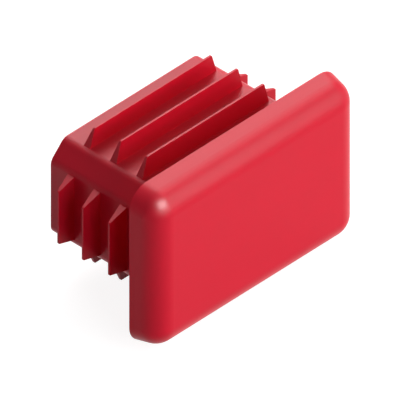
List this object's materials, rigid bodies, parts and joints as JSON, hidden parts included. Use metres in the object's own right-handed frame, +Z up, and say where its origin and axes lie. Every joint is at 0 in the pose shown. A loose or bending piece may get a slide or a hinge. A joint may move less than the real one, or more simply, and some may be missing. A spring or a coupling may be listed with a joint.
{
  "type": "profile end cap",
  "caption": "Rectangular tube end cap with a rounded flat head and a hollow, finned plug that is pushed into the tube.",
  "frame": {"origin": "centre of the head's inner face, which seats on the end of the tube", "axes": "+Y from the seat along the plug into the tube, -Y out of the head's outer face, +X along the head's longer side, +Z up along its shorter side"},
  "size_m": [0.038, 0.0228, 0.0248],
  "materials": {
    "plastic": "gloss"
  },
  "bodies": {
    "root": {"end_cap": "plastic"}
  },
  "joints": []
}
